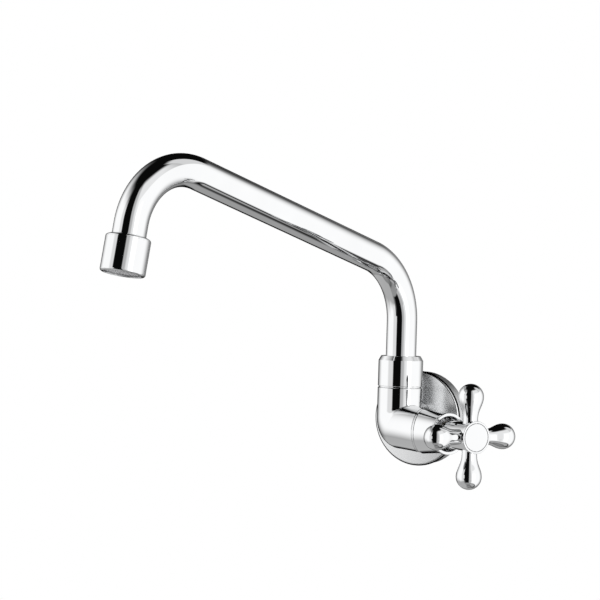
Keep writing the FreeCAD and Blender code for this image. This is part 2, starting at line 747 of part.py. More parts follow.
THREAD_R = AERATOR_R - AERATOR_WALL
COLLAR_END = OUTLET_SHOULDER + OUTLET_THREAD
CAGE_AT = COLLAR_END + AERATOR_GASKET
MESH_END = AERATOR_LONG - MOUTH_LIP
MESH_AT = MESH_END - MESH_THICK


def outlet_collar():
    """Brazed on the tube's end, with a rounded shoulder over the thread that carries the aerator."""
    body = turned([
        (TUBE_R + THREAD, 0),
        (OUTLET_TOP_R, 0),
        corner_arc(AERATOR_R, OUTLET_TOP_R, 0, OUTLET_SHOULDER - 0.3),
        (AERATOR_R, OUTLET_SHOULDER),
        (THREAD_R - THREAD, OUTLET_SHOULDER),
        (THREAD_R - THREAD, COLLAR_END),
        (TUBE_R - TUBE_WALL, COLLAR_END),
        (TUBE_R - TUBE_WALL, TUBE_IN_OUTLET),
        (TUBE_R + THREAD, TUBE_IN_OUTLET),
    ])
    return placed(body, OUTLET)


def aerator_shell():
    turn = AERATOR_EDGE * (1 - cos(45))
    body = turned([
        (THREAD_R, OUTLET_SHOULDER),
        (AERATOR_R, OUTLET_SHOULDER),
        (AERATOR_R, AERATOR_LONG - AERATOR_EDGE),
        ((AERATOR_R - turn, AERATOR_LONG - turn), (AERATOR_R - AERATOR_EDGE, AERATOR_LONG)),
        (MOUTH_R, AERATOR_LONG),
        (MOUTH_R, MESH_END),
        (THREAD_R, MESH_END),
    ])
    return placed(body, OUTLET)


def aerator_gasket():
    return placed(ring(THREAD_R - 0.2, TUBE_R - TUBE_WALL, COLLAR_END, CAGE_AT), OUTLET)


def aerator_cage():
    """Plastic cup with a drilled top plate that breaks the water into jets."""
    outer = THREAD_R - 0.1
    body = rod(outer, CAGE_AT, MESH_AT).cut(rod(outer - CAGE_WALL, CAGE_AT + CAGE_TOP, MESH_AT + 1))
    holes = []
    for reach, count in CAGE_HOLE_RINGS:
        for k in range(count):
            angle = 360 / count * k
            hole = rod(CAGE_HOLE_R, CAGE_AT - 1, CAGE_AT + CAGE_TOP + 1)
            hole.translate(Vector(reach * cos(angle), reach * sin(angle), 0))
            holes.append(hole)
    return placed(body.cut(holes), OUTLET)


def aerator_mesh():
    """Fine screen, drawn as a plain disc, clamped between the cage and the shell's lip."""
    return placed(rod(THREAD_R - 0.1, MESH_AT, MESH_END), OUTLET)


def all_parts():
    parts = {
        "wall_flange": wall_flange(),
        "flange_grip_ring": flange_grip_ring(),
        "inlet_nipple": inlet_nipple(),
        "nipple_washer": nipple_washer(),
        "tap_body": tap_body(),
        "bonnet_sleeve": bonnet_sleeve(),
        "cartridge_body": cartridge_body(),
        "cartridge_gasket": cartridge_gasket(),
        "seat_seal": seat_seal(),
        "fixed_disc": fixed_disc(),
        "swivel_collar": swivel_collar(),
        "lower_glide_ring": lower_glide_ring(),
        "upper_glide_ring": upper_glide_ring(),
        "moving_disc": moving_disc(),
        "spindle": spindle(),
        "spindle_o_rings": spindle_o_rings(),
        "spindle_clip": spindle_clip(),
        "handle_hub": handle_hub(),
        "handle_screw": handle_screw(),
        "index_cap": index_cap(),
        "spout_ferrule": spout_ferrule(),
        "ferrule_o_rings": ferrule_o_rings(),
        "spout_tube": spout_tube(),
        "outlet_collar": outlet_collar(),
        "aerator_shell": aerator_shell(),
        "aerator_gasket": aerator_gasket(),
        "aerator_cage": aerator_cage(),
        "aerator_mesh": aerator_mesh(),
    }
    sides = ("top", "front", "bottom", "back")
    for side, place in zip(sides, arm_places()):
        parts[f"handle_arm_{side}"] = handle_arm(place)
    return parts


os.makedirs("parts", exist_ok=True)
for name, shape in all_parts().items():
    shape.exportStep(f"parts/{name}.step")
    print(name, len(shape.Solids), shape.isValid(), round(shape.Volume, 1))
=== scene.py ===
import math

import bpy
import numpy as np
from mathutils import Matrix


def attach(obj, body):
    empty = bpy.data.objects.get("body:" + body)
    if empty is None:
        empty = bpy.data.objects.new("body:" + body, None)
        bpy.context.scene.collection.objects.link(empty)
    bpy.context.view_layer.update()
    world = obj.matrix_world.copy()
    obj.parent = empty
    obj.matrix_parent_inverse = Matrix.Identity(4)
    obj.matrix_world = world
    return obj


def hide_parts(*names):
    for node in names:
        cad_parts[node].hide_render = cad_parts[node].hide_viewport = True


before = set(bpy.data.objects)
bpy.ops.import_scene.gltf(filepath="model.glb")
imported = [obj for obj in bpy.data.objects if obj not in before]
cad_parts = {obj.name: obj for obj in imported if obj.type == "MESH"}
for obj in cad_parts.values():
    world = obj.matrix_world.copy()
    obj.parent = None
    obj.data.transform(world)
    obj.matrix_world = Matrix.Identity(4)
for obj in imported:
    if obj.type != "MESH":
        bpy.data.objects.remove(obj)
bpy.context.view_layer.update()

# Wall tap: a cross handle at its side and a swan spout that swivels. Sizes are in millimetres, the
# meshes in metres. The wall is y = 0, the inlet's axis is x = 0, z = 0, and +Z is up. Names ending
# in _Z are heights, and names ending in _AT are distances along the handle's axis from the post's.


# Wall flange: a cover pressed from brass sheet and chromed, pushed over the body's boss up to the
# wall. Its face is slightly crowned, its front edge rolled and its back hollow. The plate on this
# pressing is hazier than on the turned pieces.

MM = 0.001
# A place is an origin and its three axes as rows. The inlet's third axis goes into the wall.
INLET = (np.zeros(3), np.array([(1, 0, 0), (0, 0, -1), (0, 1, 0)], float))
FLANGE_R = 28.0
FLANGE_DEPTH = 10.7
FLANGE_CROWN = 1.4
FLANGE_WALL = 1.0
FLANGE_HOLE_R = 10.94


def add_node(tree, kind, settings=None, **sockets):
    """Shader node with settings {attribute: value} and sockets by name, with _ for a space."""
    made = tree.nodes.new(kind)
    for key, value in (settings or {}).items():
        setattr(made, key, value)
    for key, value in sockets.items():
        made.inputs[key.replace("_", " ")].default_value = value
    return made


def calculate(tree, operation, *sources):
    """Output of a Math node whose sources are plain numbers or other nodes' outputs."""
    made = add_node(tree, "ShaderNodeMath", {"operation": operation})
    for k, source in enumerate(sources):
        if isinstance(source, (int, float)):
            made.inputs[k].default_value = source
        else:
            tree.links.new(source, made.inputs[k])
    return made.outputs[0]


def add_noise(tree, place, **sockets):
    """Value of a noise texture at those coordinates."""
    noise = add_node(tree, "ShaderNodeTexNoise", **sockets)
    tree.links.new(place, noise.inputs["Vector"])
    return noise.outputs["Fac"]


def new_group(name, inputs):
    """Empty node group with inputs {name: default}, None for a vector, and one output, Value."""
    group = bpy.data.node_groups.new(name, "ShaderNodeTree")
    for key, default in inputs.items():
        kind = "NodeSocketVector" if default is None else "NodeSocketFloat"
        socket = group.interface.new_socket(key, in_out="INPUT", socket_type=kind)
        if default is not None:
            socket.default_value = default
    group.interface.new_socket("Value", in_out="OUTPUT", socket_type="NodeSocketFloat")
    given = group.nodes.new("NodeGroupInput").outputs
    return group, given, group.nodes.new("NodeGroupOutput").inputs["Value"]


WIPE_SHARE = 0.35


def make_handling_marks():
    """Patches of haze plus fine wipe marks: Level + Spread * (patches + share * wipes - middle).

    The middle is what the patches and the wipes average: a half, plus a half of the wipes' share.
    """
    group, given, out = new_group(
        "handling_marks", {"Vector": None, "Patch Scale": 60.0, "Level": 0.03, "Spread": 0.02})
    patches = add_node(group, "ShaderNodeTexNoise", Detail=3.0, Roughness=0.6)
    stretch = add_node(group, "ShaderNodeMapping", Scale=(1.0, 1.0, 0.12))
    group.links.new(given["Vector"], patches.inputs["Vector"])
    group.links.new(given["Patch Scale"], patches.inputs["Scale"])
    group.links.new(given["Vector"], stretch.inputs["Vector"])
    wipes = add_noise(group, stretch.outputs["Vector"], Scale=2600.0, Detail=2.0, Roughness=0.5)
    marks = calculate(group, "MULTIPLY_ADD", wipes, WIPE_SHARE, patches.outputs["Fac"])
    centred = calculate(group, "SUBTRACT", marks, 0.5 + 0.5 * WIPE_SHARE)
    value = calculate(group, "MULTIPLY_ADD", centred, given["Spread"], given["Level"])
    group.links.new(value, out)
    return group


handling_marks = make_handling_marks()


def mark_roughness(tree, shader, place, **values):
    """Roughness from the handling marks, with the finish's own values for the group's inputs."""
    marks = add_node(tree, "ShaderNodeGroup", {"node_tree": handling_marks}, **values)
    tree.links.new(place, marks.inputs["Vector"])
    tree.links.new(marks.outputs["Value"], shader.inputs["Roughness"])


def start_material(name):
    """New material with its node tree, its Principled shader and its Object coordinates."""
    made = bpy.data.materials.new(name)
    made.use_nodes = True
    tree = made.node_tree
    place = tree.nodes.new("ShaderNodeTexCoord").outputs["Object"]
    return made, tree, tree.nodes["Principled BSDF"], place


def tint_between(tree, value, low, high, shader):
    """Base colour from one tint to another as the value goes from 0.3 to 0.7."""
    ramp = add_node(tree, "ShaderNodeValToRGB")
    for element, position, tint in zip(ramp.color_ramp.elements, (0.3, 0.7), (low, high)):
        element.position = position
        element.color = (*tint, 1)
    tree.links.new(value, ramp.inputs["Fac"])
    tree.links.new(ramp.outputs["Color"], shader.inputs["Base Color"])


def make_chrome(name, level, spread):
    """Bright plate: a nearly even tint, and a roughness that haze and wipes vary."""
    made, tree, shader, place = start_material(name)
    shader.inputs["Metallic"].default_value = 1.0
    film = add_noise(tree, place, Scale=45.0, Detail=2.0)
    tint_between(tree, film, (0.69, 0.695, 0.70), (0.715, 0.72, 0.725), shader)
    mark_roughness(tree, shader, place, Level=level, Spread=spread)
    return made


pressed_chrome = make_chrome("pressed_chrome", level=0.26, spread=0.03)


def rounded_profile(corners, turn_step=10.0, arc_step=1.5):
    """(radius, height) points and normals along straight runs joined by small rounds.

    corners are (radius, height, round) with the outside on the right. A round of radius f at a
    corner with directions u to the last corner and v to the next has its middle at
    corner + (u + v) / |u + v| * f / sin(half angle), and its points stand f along the normal, no
    more than turn_step in degrees and arc_step in millimetres apart. A profile that starts on the
    axis is open, and its two ends have no rounds.
    """
    corners = np.asarray(corners, float)
    points, normals = [], []
    closed = corners[0, 0] > 0
    count = len(corners)
    for k in range(count):
        here = corners[k, :2]
        if not closed and k in (0, count - 1):
            other = corners[1 if k == 0 else count - 2, :2]
            along = (other - here) if k == 0 else (here - other)
            along = along / np.linalg.norm(along)
            points.append(here[None])
            normals.append(np.array([[along[1], -along[0]]]))
            continue
        u = corners[k - 1, :2] - here
        v = corners[(k + 1) % count, :2] - here
        u /= np.linalg.norm(u)
        v /= np.linalg.norm(v)
        first = np.array([-u[1], u[0]])
        last = np.array([v[1], -v[0]])
        turn = math.atan2(first[0] * last[1] - first[1] * last[0], first @ last)
        half = (math.pi - abs(turn)) / 2
        arc = abs(turn) * corners[k, 2]
        parts = max(2, math.ceil(abs(math.degrees(turn)) / turn_step), math.ceil(arc / arc_step))
        angles = np.linspace(0, turn, 1 + parts)
        turned_normals = np.stack([
            first[0] * np.cos(angles) - first[1] * np.sin(angles),
            first[0] * np.sin(angles) + first[1] * np.cos(angles)], 1)
        middle = here + (u + v) / np.linalg.norm(u + v) * corners[k, 2] / math.sin(half)
        points.append(middle + math.copysign(corners[k, 2], turn) * turned_normals)
        normals.append(turned_normals)
    return np.concatenate(points), np.concatenate(normals), closed


def add_object(name, data):
    """Object in the scene for a mesh, a lamp or a camera, at the origin and unturned."""
    made = bpy.data.objects.new(name, data)
    bpy.context.scene.collection.objects.link(made)
    return made


def add_surface(name, points, normals=None, closed=False):
    """Mesh of a grid that closes around its columns; its rows close too, or end in poles."""
    rows, columns = points.shape[:2]
    ids = np.arange(rows * columns).reshape(rows, columns)
    poles = []
    if not closed:
        for row in (0, rows - 1):
            if np.ptp(points[row], axis=0).max() < 1e-9:
                ids[row] = ids[row, 0]
                poles.append(row)
    after = np.roll(ids, -1, axis=1)
    next_ids, next_after = np.roll(ids, -1, axis=0), np.roll(after, -1, axis=0)
    quads = np.stack([ids, after, next_after, next_ids], -1)
    if not closed:
        quads = quads[:-1]
    bands = np.ones(len(quads), bool)
    triangles = np.zeros((0, 3), int)
    if 0 in poles:
        bands[0] = False
        triangles = np.concatenate([triangles, quads[0][:, [0, 2, 3]]])
    if rows - 1 in poles:
        bands[-1] = False
        triangles = np.concatenate([triangles, quads[-1][:, [0, 1, 2]]])
    quads = quads[bands].reshape(-1, 4)
    used = np.unique(np.concatenate([quads.ravel(), triangles.ravel()]))
    number = np.zeros(rows * columns, int)
    number[used] = np.arange(len(used))
    mesh = bpy.data.meshes.new(name)
    mesh.from_pydata(
        points.reshape(-1, 3)[used].tolist(), [],
        number[quads].tolist() + number[triangles].tolist())
    mesh.shade_smooth()
    if normals is not None:
        mesh.normals_split_custom_set_from_vertices(normals.reshape(-1, 3)[used].tolist())
    return add_object(name, mesh)


def placed(local, place):
    """Points in metres from a place, which is an origin and its three axes as rows."""
    origin, axes = place
    return (origin + local @ axes) * MM


def around(steps):
    """The angles 2 pi k / steps of one full turn."""
    return np.linspace(0, 2 * math.pi, steps, endpoint=False)


def spun(pairs, t):
    """A ring (r cos t, r sin t, z) for each pair (r, z)."""
    r = np.broadcast_to(pairs[:, :1], (len(pairs), len(t)))
    z = np.broadcast_to(pairs[:, 1:], r.shape)
    return np.stack([r * np.cos(t), r * np.sin(t), z], -1)


def turned_piece(name, corners, place, steps=192):
    """Surface of revolution of a rounded profile about the place's third axis."""
    profile, outward, closed = rounded_profile(corners)
    t = around(steps)
    return add_surface(name, placed(spun(profile, t), place), spun(outward, t) @ place[1], closed)


def finish_piece(piece, finish, body, slot, *nodes):
    """Its finish, the body it moves with and the CAD nodes it stands for. The slot is not used."""
    piece.data.materials.append(finish)
    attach(piece, body)
    if nodes:
        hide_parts(*nodes)


def flange_corners():
    """Crowned face z = -depth - crown (1 - (r / R)^2), as one wide round between its end slopes.

    The round's tangents take up 0.9 of the way from the middle to each edge.
    """
    slope_in, slope_out = (2 * FLANGE_CROWN * r / FLANGE_R**2 for r in (FLANGE_HOLE_R, FLANGE_R))
    hole_z = -FLANGE_DEPTH - FLANGE_CROWN * (1 - (FLANGE_HOLE_R / FLANGE_R) ** 2)
    middle = (FLANGE_HOLE_R + FLANGE_R) / 2
    middle_z = hole_z + slope_in * (middle - FLANGE_HOLE_R)
    turn = math.atan(slope_out) - math.atan(slope_in)
    wide = 0.9 * (middle - FLANGE_HOLE_R) / math.tan(turn / 2)
    inside_r = FLANGE_R - FLANGE_WALL
    return [
        (FLANGE_HOLE_R, hole_z, 0.15), (middle, middle_z, wide),
        (FLANGE_R, -FLANGE_DEPTH, 0.9), (FLANGE_R, 0, 0.2), (inside_r, 0, 0.2),
        (inside_r, FLANGE_WALL - FLANGE_DEPTH, 0.4), (middle, middle_z + FLANGE_WALL, wide),
        (FLANGE_HOLE_R, hole_z + FLANGE_WALL, 0.1),
    ]


flange = turned_piece("flange_shell", flange_corners(), INLET, steps=256)
finish_piece(flange, pressed_chrome, "tap", "chrome", "wall_flange")


# Inlet nipple: a turned brass tail with a half-inch pipe thread for the fitting in the wall, and a
# smaller tail that screws into the body. The thread's pitch is an inch over 14.

NIPPLE_R = 10.48
PIPE_PITCH = 1.814
PIPE_DEEP = 1.1
PIPE_STEP = PIPE_PITCH / 11
FLAT_SHARE = 0.12
THREAD_FADES_FROM = -2.4
THREAD_END = 13.95
THREAD_END_R = 9.7
LEAD_IN_SLOPE = 0.9


def add_bump(tree, shader, height, strength, distance):
    """Normal from a Bump node over that height, with its full distance in metres."""
    bump = add_node(tree, "ShaderNodeBump", Strength=strength, Distance=distance)
    tree.links.new(height, bump.inputs["Height"])
    tree.links.new(bump.outputs["Normal"], shader.inputs["Normal"])


def make_worked_metal(name, low, high, roughness, pitch):
    """Metal off the lathe: two tints in slow patches, and close tool lines from a wave texture."""
    made, tree, shader, place = start_material(name)
    shader.inputs["Metallic"].default_value = 1.0
    tint_between(tree, add_noise(tree, place, Scale=260.0, Detail=4.0), low, high, shader)
    mark_roughness(tree, shader, place, Patch_Scale=220.0, Level=roughness, Spread=0.2)
    lines = add_node(
        tree, "ShaderNodeTexWave", {"wave_type": "RINGS"}, Scale=1 / pitch, Distortion=1.5)
    tree.links.new(place, lines.inputs["Vector"])
    add_bump(tree, shader, lines.outputs["Fac"], strength=0.25, distance=0.00002)
    return made


brass = make_worked_metal(
    "turned_brass", (0.70, 0.49, 0.22), (0.80, 0.60, 0.31), roughness=0.24, pitch=0.0004)


def nipple_surface():
    """Rings r(t, z) down the outside and back up the bore, with z the depth into the wall.

    On the thread r = R - deep * ramp(|2 f - 1|), where f is the fraction of z / pitch - t / turn,
    and the ramp is flat for FLAT_SHARE at the crest and at the root. It fades in over one pitch
    past the shoulder, and a lead-in cone cuts it at the free end.
    """
    t = around(120)
    tail = [(-13.5, 6.1), (-13.5, 7.5), (-12.7, 8.3), (-4.05, 8.3), (-4.0, 8.35), (-4.0, 10.4),
            (-3.95, NIPPLE_R)]
    thread = [(z, NIPPLE_R) for z in np.arange(-3.8, 13.9, PIPE_STEP)]
    end = [(THREAD_END, THREAD_END_R), (14.0, 9.6)]
    bore = [(14.0, 6.4), (13.5, 6.0), (-13.0, 6.0), (-13.5, 6.05)]
    z, r = np.array(tail + thread + end + bore).T[..., None]
    f = np.abs(2 * ((z / PIPE_PITCH - t / (2 * math.pi)) % 1) - 1)
    ramp = np.clip((f - FLAT_SHARE) / (1 - 2 * FLAT_SHARE), 0, 1)
    fade = np.clip((z - THREAD_FADES_FROM) / PIPE_PITCH, 0, 1)
    cut = slice(len(tail), -len(bore))
    r = np.repeat(r, len(t), axis=1)
    r[cut] -= PIPE_DEEP * ramp[cut] * fade[cut]
    screwed = slice(len(tail), len(tail) + len(thread))
    r[screwed] = np.minimum(
        r[screwed], THREAD_END_R + (THREAD_END - z[screwed]) * LEAD_IN_SLOPE)
    grid = np.stack([r * np.cos(t), r * np.sin(t), np.broadcast_to(z, r.shape)], -1)
    return add_surface("threaded_nipple", placed(grid, INLET), closed=True)


finish_piece(nipple_surface(), brass, "tap", "brass", "inlet_nipple")


# Seals at the wall: a washer pressed from red fibre between the nipple and the body, and a black
# rubber ring in the flange that grips the boss. Both keep the CAD's shapes.


def make_moulded(name, low, high, roughness, grain, bump_height):
    """Moulded, pressed or fired stuff: two tints in a fine grain that is also its bump."""
    made, tree, shader, place = start_material(name)
    speckle = add_noise(tree, place, Scale=1 / grain, Detail=5.0, Roughness=0.65)
    tint_between(tree, speckle, low, high, shader)
    mark_roughness(tree, shader, place, Patch_Scale=180.0, Level=roughness, Spread=0.25)
    add_bump(tree, shader, speckle, strength=0.4, distance=bump_height)
    return made


red_fibre = make_moulded(
    "red_fibre", (0.33, 0.08, 0.05), (0.55, 0.19, 0.13),
    roughness=0.75, grain=0.0005, bump_height=0.00004)
rubber = make_moulded(
    "black_rubber", (0.022, 0.022, 0.022), (0.045, 0.044, 0.043),
    roughness=0.6, grain=0.0005, bump_height=0.00002)


def finish_nodes(finish, *names):
    """The finish on CAD nodes that keep their shapes."""
    for name in names:
        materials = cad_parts[name].data.materials
        materials.clear()
        materials.append(finish)


finish_nodes(red_fibre, "nipple_washer")
finish_nodes(rubber, "flange_grip_ring")


# Body: a brass casting, chromed. An upright barrel turns through a tight elbow into the handle's
# leg, and a boss behind it takes the inlet. A fine groove and then a sunken band are turned into
# the leg's last SEAM_BAND, up to the bonnet sleeve's foot.

POST_OUT = 33.0
HANDLE_DROP = 4.6
HANDLE_TURN = math.radians(61.0)
UP = np.array([0.0, 0.0, 1.0])
ALONG_HANDLE = np.array([math.sin(HANDLE_TURN), -math.cos(HANDLE_TURN), 0.0])
HANDLE = (np.array([0, -POST_OUT, -HANDLE_DROP]),
          np.array([UP, np.cross(ALONG_HANDLE, UP), ALONG_HANDLE]))
BARREL_R = 13.3
BOSS_R = 10.9
LEG_UNDER = 12.5
LEG_END_R = 13.0
LEG_END_UNDER = 13.0
LEG_END_AT = 26.0
LEG_TAPER_AT = 4.0
JOINT_Z = 19.3
SLEEVE_FOOT_X = 24.9
SEAM_BAND = 3.5
SHARP_FROM = math.radians(34)

# (inset from the side, drop from the joint) over the barrel's top, from its middle to its side
BARREL_TOP = (
    (BARREL_R, 0), (1.2, 0), (0.34, 0), (0.31, 0.01), (0.03, 0.37), (0, 0.42), (0, 0.75))

# (distance past the band's start, inset from the side) over the seam's band and the leg's end
SEAM_LINES = (
    (-0.1, 0), (-0.01, 0), (0.02, 0.02), (0.16, 0.16), (0.2, 0.17), (0.85, 0.04), (0.95, 0.02),
    (1.85, 0.02), (1.98, 0.02), (2.01, 0.04), (2.2, 0.23), (2.25, 0.25), (SEAM_BAND, 0.27),
    (SEAM_BAND + 0.3, 0.7), (SEAM_BAND + 0.3, BARREL_R))

chrome = make_chrome("chrome_plate", level=0.030, spread=0.02)


def elbow_round(angle):
    """Radius of the bend for each line of the barrel, by its angle from the elbow's inner side.

    The inner corner is nearly sharp as far as about 36 degrees, and the outer corner is wide.
    """
    degrees = np.degrees(np.arccos(np.cos(angle)))
    return np.interp(degrees, (0, 30, 40, 60, 90, 120, 150, 180),
                     (0.35, 0.35, 0.8, 3.2, 7.0, 11.7, 16.4, 18.3))


def leg_section(along):
    """Radius and rise of the leg's circle: it narrows and sinks gently past LEG_TAPER_AT."""
    s = np.clip((along - LEG_TAPER_AT) / (LEG_END_AT - LEG_TAPER_AT), 0, None) ** 1.4
    radius = BARREL_R + (LEG_END_R - BARREL_R) * s
    return radius, radius - LEG_UNDER - (LEG_END_UNDER - LEG_UNDER) * s


def sleeve_foot(radius, angle):
    """Where the line at this radius and angle round the handle's axis meets x = SLEEVE_FOOT_X."""
    across_x = HANDLE[1][1][0]
    return (SLEEVE_FOOT_X - radius * np.sin(angle) * across_x) / ALONG_HANDLE[0]


def elbow_surface():
    """Lines at angle a round the barrel: down it, round an arc of elbow_round(a), along the leg.

    In the handle's frame (up, across, along) a line's corner is at up = rise + R cos a and
    along = R cos a. The arc from it is tangent to both, and the leg's part follows leg_section.
    elbow_round is smoothed around the barrel with a bell-shaped window of 25 lines.
    """
    a = around(256)
    bell = np.hanning(25) / np.hanning(25).sum()
    width = np.convolve(np.tile(elbow_round(a), 3), bell, "same")[len(a):-len(a)]
    cos_a, sin_a = np.cos(a), np.sin(a)
    top = JOINT_Z + HANDLE_DROP
    corner_up = BARREL_R - LEG_UNDER + BARREL_R * cos_a
    corner_along = BARREL_R * cos_a
    rows = []
    for inset, drop in BARREL_TOP:
        r = BARREL_R - inset
        rows.append(np.stack([np.full(len(a), top - drop), r * sin_a, r * cos_a]))
    side_top = top - BARREL_TOP[-1][1]
    for s in np.linspace(0, 1, 16)[1:]:
        up = side_top + (corner_up + width - side_top) * s
        rows.append(np.stack([up, BARREL_R * sin_a, corner_along]))
    t = np.linspace(0, math.pi / 2, 49)[1:]
    along = [corner_along + width * (1 - np.cos(step)) for step in t]
    above = [width * (1 - np.sin(step)) for step in t]
    band = sleeve_foot(BARREL_R, a) - SEAM_BAND
    straight = np.linspace(0, 1, 28)[1:]
    leg_start = along[-1]
    along += [leg_start + (band - 0.3 - leg_start) * s for s in straight]
    above += [0] * len(straight)
    for z, extra in zip(along, above):
        radius, rise = leg_section(z)
        rows.append(np.stack([extra + rise + radius * cos_a, radius * sin_a, z]))
    for offset, inset in SEAM_LINES:
        radius, rise = leg_section(band + offset)
        r = radius - np.minimum(inset, radius)
        rows.append(np.stack([rise + r * cos_a, r * sin_a, band + offset]))
    grid = np.stack(rows).transpose(0, 2, 1)
    grid[0] = grid[0].mean(0)
    grid[-1] = grid[-1].mean(0)
    piece = add_surface("body_elbow", placed(grid[:, ::-1], HANDLE))
    piece.data.set_sharp_from_angle(angle=SHARP_FROM)
    return piece


finish_piece(elbow_surface(), chrome, "tap", "chrome", "tap_body")
boss = turned_piece(
    "body_boss", [(0, -30, 0), (BOSS_R, -30, 0.3), (BOSS_R, -5, 0.3), (0, -5, 0)], INLET, steps=160)
finish_piece(boss, chrome, "tap", "chrome")


# Cartridge: it screws into the leg and shuts the water off between a fixed and a turning disc of
# fired ceramic. Its nickelled housing and its steel clip look alike, its spindle is bare brass, and
# its seals are fibre and rubber. The sleeve hides it, and all of it keeps the CAD's shapes.

steel = make_worked_metal(
    "drawn_steel", (0.50, 0.50, 0.51), (0.60, 0.60, 0.61), roughness=0.28, pitch=0.0003)
white_ceramic = make_moulded(
    "white_ceramic", (0.84, 0.82, 0.78), (0.90, 0.89, 0.86),
    roughness=0.15, grain=0.0004, bump_height=0.000003)
brown_ceramic = make_moulded(
    "brown_ceramic", (0.27, 0.22, 0.20), (0.36, 0.31, 0.28),
    roughness=0.15, grain=0.0004, bump_height=0.000003)

finish_nodes(rubber, "seat_seal", "spindle_o_rings")
finish_nodes(white_ceramic, "fixed_disc")
finish_nodes(brown_ceramic, "moving_disc")
finish_nodes(red_fibre, "cartridge_gasket")
finish_nodes(brass, "spindle")
finish_nodes(steel, "cartridge_body", "spindle_clip")


# Bonnet sleeve: a tapered shroud of chromed brass pushed over the cartridge, up to the body's seam.
# Its foot is cut square to the wall, and its mouth has a beaded and dished edge.

SLEEVE_FOOT_R = 13.3
BEAD_R = 12.0
MOUTH_AT = 52.4


def sleeve_surface():
    """The turned sleeve's rings, with those of its foot slid to the plane x = SLEEVE_FOOT_X."""
    foot_at = 13.0
    profile, outward, closed = rounded_profile([
        (11.24, foot_at, 0.1), (SLEEVE_FOOT_R, foot_at, 0.1), (11.0, 49.8, 0.5),
        (BEAD_R, 50.5, 0.6), (BEAD_R, MOUTH_AT, 0.4), (10.3, MOUTH_AT, 0.25), (9.3, 50.8, 0.3),
        (9.3, 47.8, 0.2), (9.5, 47.8, 0.2), (10.7, 37.0, 0.2), (11.24, 35.0, 0.2),
    ])
    t = around(192)
    grid = spun(profile, t)
    foot = profile[:, 1] < foot_at + 1
    grid[foot, :, 2] = sleeve_foot(profile[foot, :1], t)
    return add_surface(
        "sleeve_shell", placed(grid, HANDLE), spun(outward, t) @ HANDLE[1], closed)


finish_piece(sleeve_surface(), chrome, "tap", "chrome", "bonnet_sleeve")


# Spout's foot: a turned brass ferrule with two rubber rings, between two rings of white plastic in
# the body's neck. The collar and the barrel hide it, and it keeps the CAD's shapes.

white_plastic = make_moulded(
    "white_acetal", (0.80, 0.80, 0.77), (0.88, 0.88, 0.86),
    roughness=0.42, grain=0.0007, bump_height=0.00001)

finish_nodes(white_plastic, "lower_glide_ring", "upper_glide_ring")
finish_nodes(brass, "spout_ferrule")
finish_nodes(rubber, "ferrule_o_rings")


# Swivel collar: a nut turned from brass and chromed, which holds the spout's foot down in the body.
# A groove and a small bevel mark its joint with the barrel, and a wide chamfer leads to the tube.

COLLAR_R = 13.25
COLLAR_TOP_Z = 38.0
GROOVE_R = 12.7
GROOVE_TOP_Z = 20.0

POST = (np.array([0, -POST_OUT, 0.0]), np.eye(3))
collar = turned_piece("collar_shell", [
    (12.04, JOINT_Z, 0.2), (GROOVE_R, JOINT_Z, 0.02), (GROOVE_R, GROOVE_TOP_Z, 0.02),
    (13.06, GROOVE_TOP_Z, 0.01), (COLLAR_R, 20.24, 0.02), (COLLAR_R, 35.3, 0.4),
    (11.7, COLLAR_TOP_Z, 0.3), (9.06, COLLAR_TOP_Z, 0.25), (9.06, 34.2, 0.2), (12.04, 34.2, 0.2),
], POST)
finish_piece(collar, chrome, "tap", "chrome", "swivel_collar")


# Swan spout: one length of chromed brass tube, 18 mm across, bent twice on a mandrel and brazed
# into the ferrule at its foot and the outlet's collar at its end.

SPOUT_TURN = math.radians(-13.0)
ALONG_SPOUT = np.array([math.sin(SPOUT_TURN), -math.cos(SPOUT_TURN), 0.0])
SPOUT = (np.array([0, -POST_OUT, 0.0]), np.array([ALONG_SPOUT, np.cross(UP, ALONG_SPOUT), UP]))
TUBE_R = 9.0
TUBE_WALL = 1.2
TUBE_FOOT_Z = 29.0
POST_TOP_Z = 58.6
BEND_1_R = 39.3
BEND_1_TURN = math.radians(74.4)
RUN = 146.7
BEND_2_R = 37.1
OUTLET_LEAN = math.radians(11.0)
OUTLET_STRAIGHT = 6.4
TUBE_IN_OUTLET = 7.5
BEND_2_TURN = math.pi - OUTLET_LEAN
RUN_STEP = 6
BEND_STEP = 1.5


def spout_line():
    """Centre line in the spout's plane: points (out, up) and headings, straights joined by arcs.

    A heading h is the angle from straight up: the line goes along (sin h, cos h). On a bend of
    radius R from heading a, the point is start + R (cos a - cos h, sin h - sin a).
    """
    places, headings = [], []
    here, heading = np.array([0.0, TUBE_FOOT_Z]), 0.0
    for length, radius, end in (
        (POST_TOP_Z - TUBE_FOOT_Z, None, None), (None, BEND_1_R, BEND_1_TURN), (RUN, None, None),
        (None, BEND_2_R, BEND_2_TURN), (OUTLET_STRAIGHT + TUBE_IN_OUTLET, None, None),
    ):
        if radius is None:
            way = np.array([math.sin(heading), math.cos(heading)])
            s = np.linspace(0, length, max(3, int(length / RUN_STEP)))[:, None]
            run = here + s * way
            turns = np.full(len(s), heading)
        else:
            turns = np.linspace(heading, end, int(math.degrees(end - heading) / BEND_STEP))
            run = here + radius * np.stack(
                [math.cos(heading) - np.cos(turns), np.sin(turns) - math.sin(heading)], 1)
            heading = end
        keep = slice(1 if places else 0, None)
        places.append(run[keep])
        headings.append(turns[keep])
        here = run[-1]
    return np.concatenate(places), np.concatenate(headings)


line_points, line_headings = spout_line()


